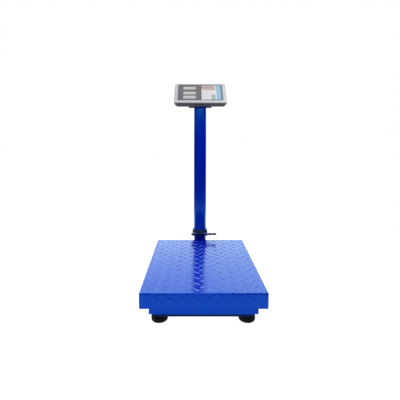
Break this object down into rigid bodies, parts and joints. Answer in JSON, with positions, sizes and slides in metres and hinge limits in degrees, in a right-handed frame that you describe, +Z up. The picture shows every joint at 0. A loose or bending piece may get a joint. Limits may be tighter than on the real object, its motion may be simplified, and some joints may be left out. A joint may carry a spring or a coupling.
{
  "type": "platform shipping scale",
  "caption": "Floor platform scale with a treaded steel deck on a load cell, levelling feet, a folding column and a tilting indicator head.",
  "frame": {"origin": "centre of the whole scale's footprint at floor level, under the feet", "axes": "+Z up, the operator stands on the -Y side facing +Y, +X to the operator's right"},
  "size_m": [0.4, 0.5852, 0.8454],
  "materials": {
    "blue_paint": "gloss enamel over pressed steel",
    "dark_casting": "dark satin paint over steel",
    "chrome": "bright chrome plate",
    "zinc": "zinc-plated steel",
    "aluminium": "machined, satin",
    "black_rubber": "moulded, matt",
    "black_plastic": "moulded, fine grain",
    "silver_plastic": "silver grey, satin gloss",
    "panel_film": "printed polyester film, satin",
    "display_glass": "reflective liquid-crystal window",
    "keypad_film": "embossed printed film",
    "board_green": "solder mask",
    "battery_wrap": "shrink wrap"
  },
  "bodies": {
    "base": {"base_beam_front": "blue_paint", "base_beam_rear": "blue_paint", "base_rail_left": "blue_paint", "base_rail_right": "blue_paint", "base_center_channel": "blue_paint", "foot_gusset_fl": "blue_paint", "foot_gusset_fr": "blue_paint", "foot_gusset_rl": "blue_paint", "foot_gusset_rr": "blue_paint", "load_cell": "aluminium", "cell_spacer_lower": "zinc", "cell_spacer_upper": "zinc", "cell_bolt_lower": "zinc", "cell_bolt_upper": "zinc", "carrier_rail_left": "blue_paint", "carrier_rail_right": "blue_paint", "carrier_cross_front": "blue_paint", "carrier_cross_rear": "blue_paint", "carrier_center_plate": "blue_paint", "deck_plate": "blue_paint", "column_bracket": "blue_paint", "bracket_bolt_left": "zinc", "bracket_bolt_right": "zinc", "stub_post": "blue_paint", "lower_hinge_block": "dark_casting", "hinge_bolt": "chrome", "hinge_nut": "chrome", "lever_pin": "chrome"},
    "column": {"upper_hinge_block": "dark_casting", "column_tube": "blue_paint", "column_top_plug": "zinc", "head_bracket": "dark_casting", "bracket_screw_left": "zinc", "bracket_screw_right": "zinc"},
    "indicator": {"front_shell": "silver_plastic", "rear_shell": "black_plastic", "front_panel": "panel_film", "display_weight": "display_glass", "display_price": "display_glass", "display_total": "display_glass", "keypad": "keypad_film", "circuit_board": "board_green", "battery": "battery_wrap", "battery_cover": "black_plastic", "power_inlet": "black_plastic", "signal_socket": "zinc"},
    "lock_lever": {"lock_lever": "black_plastic"},
    "tilt_knob_left": {"tilt_knob_left": "black_plastic"},
    "tilt_knob_right": {"tilt_knob_right": "black_plastic"},
    "power_rocker": {"power_rocker": "black_plastic"},
    "foot_fl": {"foot_pad_fl": "black_rubber", "foot_stud_fl": "zinc"},
    "foot_fr": {"foot_pad_fr": "black_rubber", "foot_stud_fr": "zinc"},
    "foot_rl": {"foot_pad_rl": "black_rubber", "foot_stud_rl": "zinc"},
    "foot_rr": {"foot_pad_rr": "black_rubber", "foot_stud_rr": "zinc"}
  },
  "joints": [
    {"name": "column_fold", "type": "hinge", "parent": "base", "child": "column", "pos_m": [0, 0.21693, 0.134], "axis": [1, 0, 0], "range_deg": [0, 90]},
    {"name": "head_tilt", "type": "hinge", "parent": "column", "child": "indicator", "pos_m": [0, 0.25393, 0.7582], "axis": [1, 0, 0], "range_deg": [-20, 25]},
    {"name": "lock_lever_swing", "type": "hinge", "parent": "base", "child": "lock_lever", "pos_m": [0.0445, 0.21693, 0.134], "axis": [0, 0, 1], "range_deg": [0, 90]},
    {"name": "tilt_knob_left_turn", "type": "hinge", "parent": "indicator", "child": "tilt_knob_left", "pos_m": [-0.0595, 0.25393, 0.7582], "axis": [1, 0, 0], "continuous": true},
    {"name": "tilt_knob_right_turn", "type": "hinge", "parent": "indicator", "child": "tilt_knob_right", "pos_m": [0.0595, 0.25393, 0.7582], "axis": [1, 0, 0], "continuous": true},
    {"name": "power_rocker_press", "type": "hinge", "parent": "indicator", "child": "power_rocker", "pos_m": [0.086, 0.25053, 0.78505], "axis": [1, 0, 0], "range_deg": [-14, 0]},
    {"name": "foot_fl_turn", "type": "hinge", "parent": "base", "child": "foot_fl", "pos_m": [-0.141, -0.24557, 0.02], "axis": [0, 0, 1], "continuous": true},
    {"name": "foot_fr_turn", "type": "hinge", "parent": "base", "child": "foot_fr", "pos_m": [0.141, -0.24557, 0.02], "axis": [0, 0, 1], "continuous": true},
    {"name": "foot_rl_turn", "type": "hinge", "parent": "base", "child": "foot_rl", "pos_m": [-0.141, 0.16043, 0.02], "axis": [0, 0, 1], "continuous": true},
    {"name": "foot_rr_turn", "type": "hinge", "parent": "base", "child": "foot_rr", "pos_m": [0.141, 0.16043, 0.02], "axis": [0, 0, 1], "continuous": true}
  ]
}
